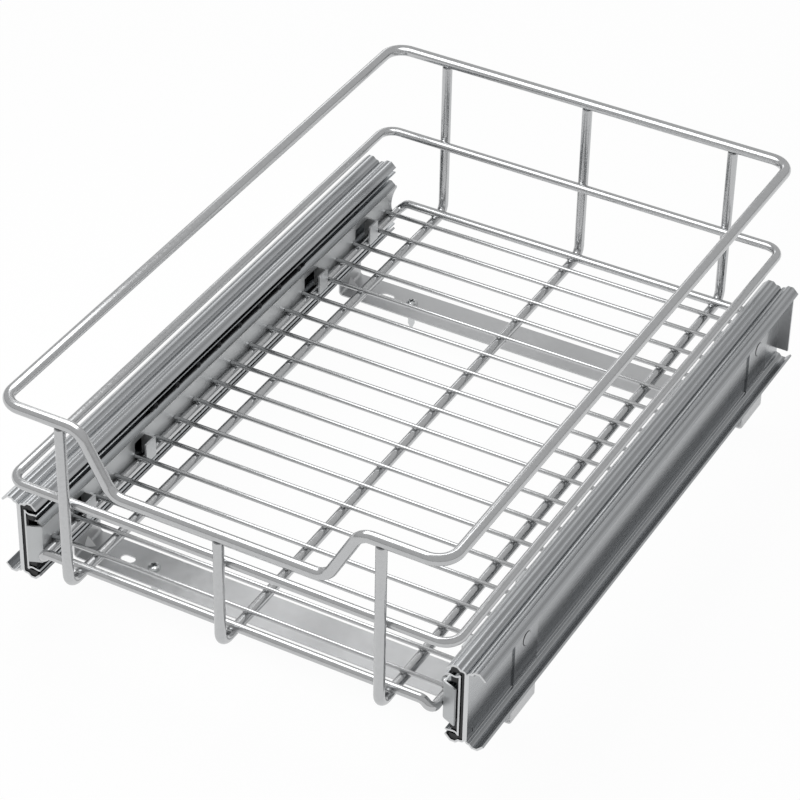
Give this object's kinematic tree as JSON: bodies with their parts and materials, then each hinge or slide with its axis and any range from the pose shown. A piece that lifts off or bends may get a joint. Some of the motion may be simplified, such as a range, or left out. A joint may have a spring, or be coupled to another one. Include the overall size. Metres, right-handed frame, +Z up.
{
  "type": "pull-out cabinet basket",
  "caption": "Pull-out wire basket on two full-extension ball-bearing slides with bottom brackets, for a base cabinet.",
  "frame": {"origin": "middle of the four mounting slots, on the underside of the two brackets", "axes": "+X to the right seen from the front, +Y towards the back of the cabinet, +Z up"},
  "size_m": [0.2608, 0.3767, 0.1562],
  "materials": {
    "bright_wire": "bright nickel-chrome plated wire",
    "zinc_channel": "bright zinc plated rolled channel",
    "zinc_member": "bright zinc plated slide member",
    "satin_plate": "satin zinc plated sheet",
    "satin_bracket": "satin zinc plated sheet",
    "cage_steel": "dark greased sheet",
    "ball_steel": "polished hardened balls",
    "black_plastic": "moulded, semi-matt",
    "screw_steel": "bright zinc plated"
  },
  "bodies": {
    "frame": {"left_spacer_channel": "zinc_channel", "right_spacer_channel": "zinc_channel", "left_outer_rail": "zinc_channel", "right_outer_rail": "zinc_channel", "left_outer_stop": "black_plastic", "right_outer_stop": "black_plastic", "front_bracket": "satin_bracket", "rear_bracket": "satin_bracket", "bracket_rivets": "satin_bracket", "bracket_screws": "screw_steel"},
    "left_outer_ball_cage": {"left_outer_cage": "cage_steel", "left_outer_balls": "ball_steel"},
    "left_middle_member": {"left_middle_rail": "zinc_member", "left_middle_stop": "black_plastic"},
    "left_inner_ball_cage": {"left_inner_cage": "cage_steel", "left_inner_balls": "ball_steel"},
    "right_outer_ball_cage": {"right_outer_cage": "cage_steel", "right_outer_balls": "ball_steel"},
    "right_middle_member": {"right_middle_rail": "zinc_member", "right_middle_stop": "black_plastic"},
    "right_inner_ball_cage": {"right_inner_cage": "cage_steel", "right_inner_balls": "ball_steel"},
    "basket": {"left_inner_rail": "zinc_member", "right_inner_rail": "zinc_member", "left_carrier_plate": "satin_plate", "right_carrier_plate": "satin_plate", "top_rim": "bright_wire", "middle_ring": "bright_wire", "bottom_ring": "bright_wire", "left_u_wire": "bright_wire", "centre_u_wire": "bright_wire", "right_u_wire": "bright_wire", "floor_cross_wires": "bright_wire"}
  },
  "joints": [
    {"name": "basket_slide", "type": "slide", "parent": "frame", "child": "basket", "axis": [0, -1, 0], "range_m": [0, 0.34]},
    {"name": "left_outer_cage_slide", "type": "slide", "parent": "frame", "child": "left_outer_ball_cage", "axis": [0, -1, 0], "range_m": [0, 0.085]},
    {"name": "left_middle_slide", "type": "slide", "parent": "frame", "child": "left_middle_member", "axis": [0, -1, 0], "range_m": [0, 0.17]},
    {"name": "left_inner_cage_slide", "type": "slide", "parent": "frame", "child": "left_inner_ball_cage", "axis": [0, -1, 0], "range_m": [0, 0.255]},
    {"name": "right_outer_cage_slide", "type": "slide", "parent": "frame", "child": "right_outer_ball_cage", "axis": [0, -1, 0], "range_m": [0, 0.085]},
    {"name": "right_middle_slide", "type": "slide", "parent": "frame", "child": "right_middle_member", "axis": [0, -1, 0], "range_m": [0, 0.17]},
    {"name": "right_inner_cage_slide", "type": "slide", "parent": "frame", "child": "right_inner_ball_cage", "axis": [0, -1, 0], "range_m": [0, 0.255]}
  ],
  "couplings": [
    {"joint": "left_outer_cage_slide", "follows": "basket_slide", "ratio": 0.25},
    {"joint": "left_middle_slide", "follows": "basket_slide", "ratio": 0.5},
    {"joint": "left_inner_cage_slide", "follows": "basket_slide", "ratio": 0.75},
    {"joint": "right_outer_cage_slide", "follows": "basket_slide", "ratio": 0.25},
    {"joint": "right_middle_slide", "follows": "basket_slide", "ratio": 0.5},
    {"joint": "right_inner_cage_slide", "follows": "basket_slide", "ratio": 0.75}
  ]
}
